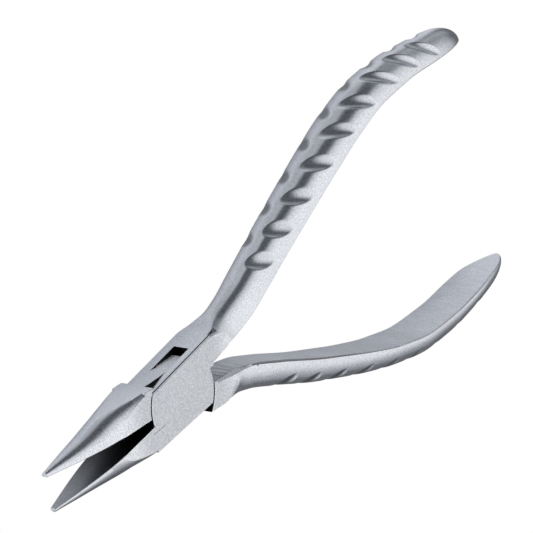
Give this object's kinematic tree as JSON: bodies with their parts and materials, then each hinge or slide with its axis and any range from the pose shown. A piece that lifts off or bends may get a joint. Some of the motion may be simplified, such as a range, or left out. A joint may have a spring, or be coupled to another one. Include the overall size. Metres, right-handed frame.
{
  "type": "box joint chain nose pliers",
  "caption": "Slim hand pliers with smooth tapering jaws, a slotted pass-through pivot joint and curved handles with finger scoops.",
  "frame": {"origin": "where the pivot axis meets the underside ground face of the joint", "axes": "+Z along the pivot axis, +X from the joint towards the handles (jaws towards -X), +Y towards the outer half's handle; the tool lies flat"},
  "size_m": [0.1314, 0.0572, 0.0096],
  "materials": {
    "outer_half_steel": "fine satin, bead blasted",
    "inner_half_steel": "fine satin, bead blasted",
    "pin_steel": "ground flush and satin finished"
  },
  "bodies": {
    "outer_half": {"outer_half": "outer_half_steel", "pivot_pin": "pin_steel"},
    "inner_half": {"inner_half": "inner_half_steel"}
  },
  "joints": [
    {"name": "pivot", "type": "hinge", "parent": "outer_half", "child": "inner_half", "pos_m": [0, 0, 0], "axis": [0, 0, -1], "range_deg": [-10.4, 21]}
  ]
}
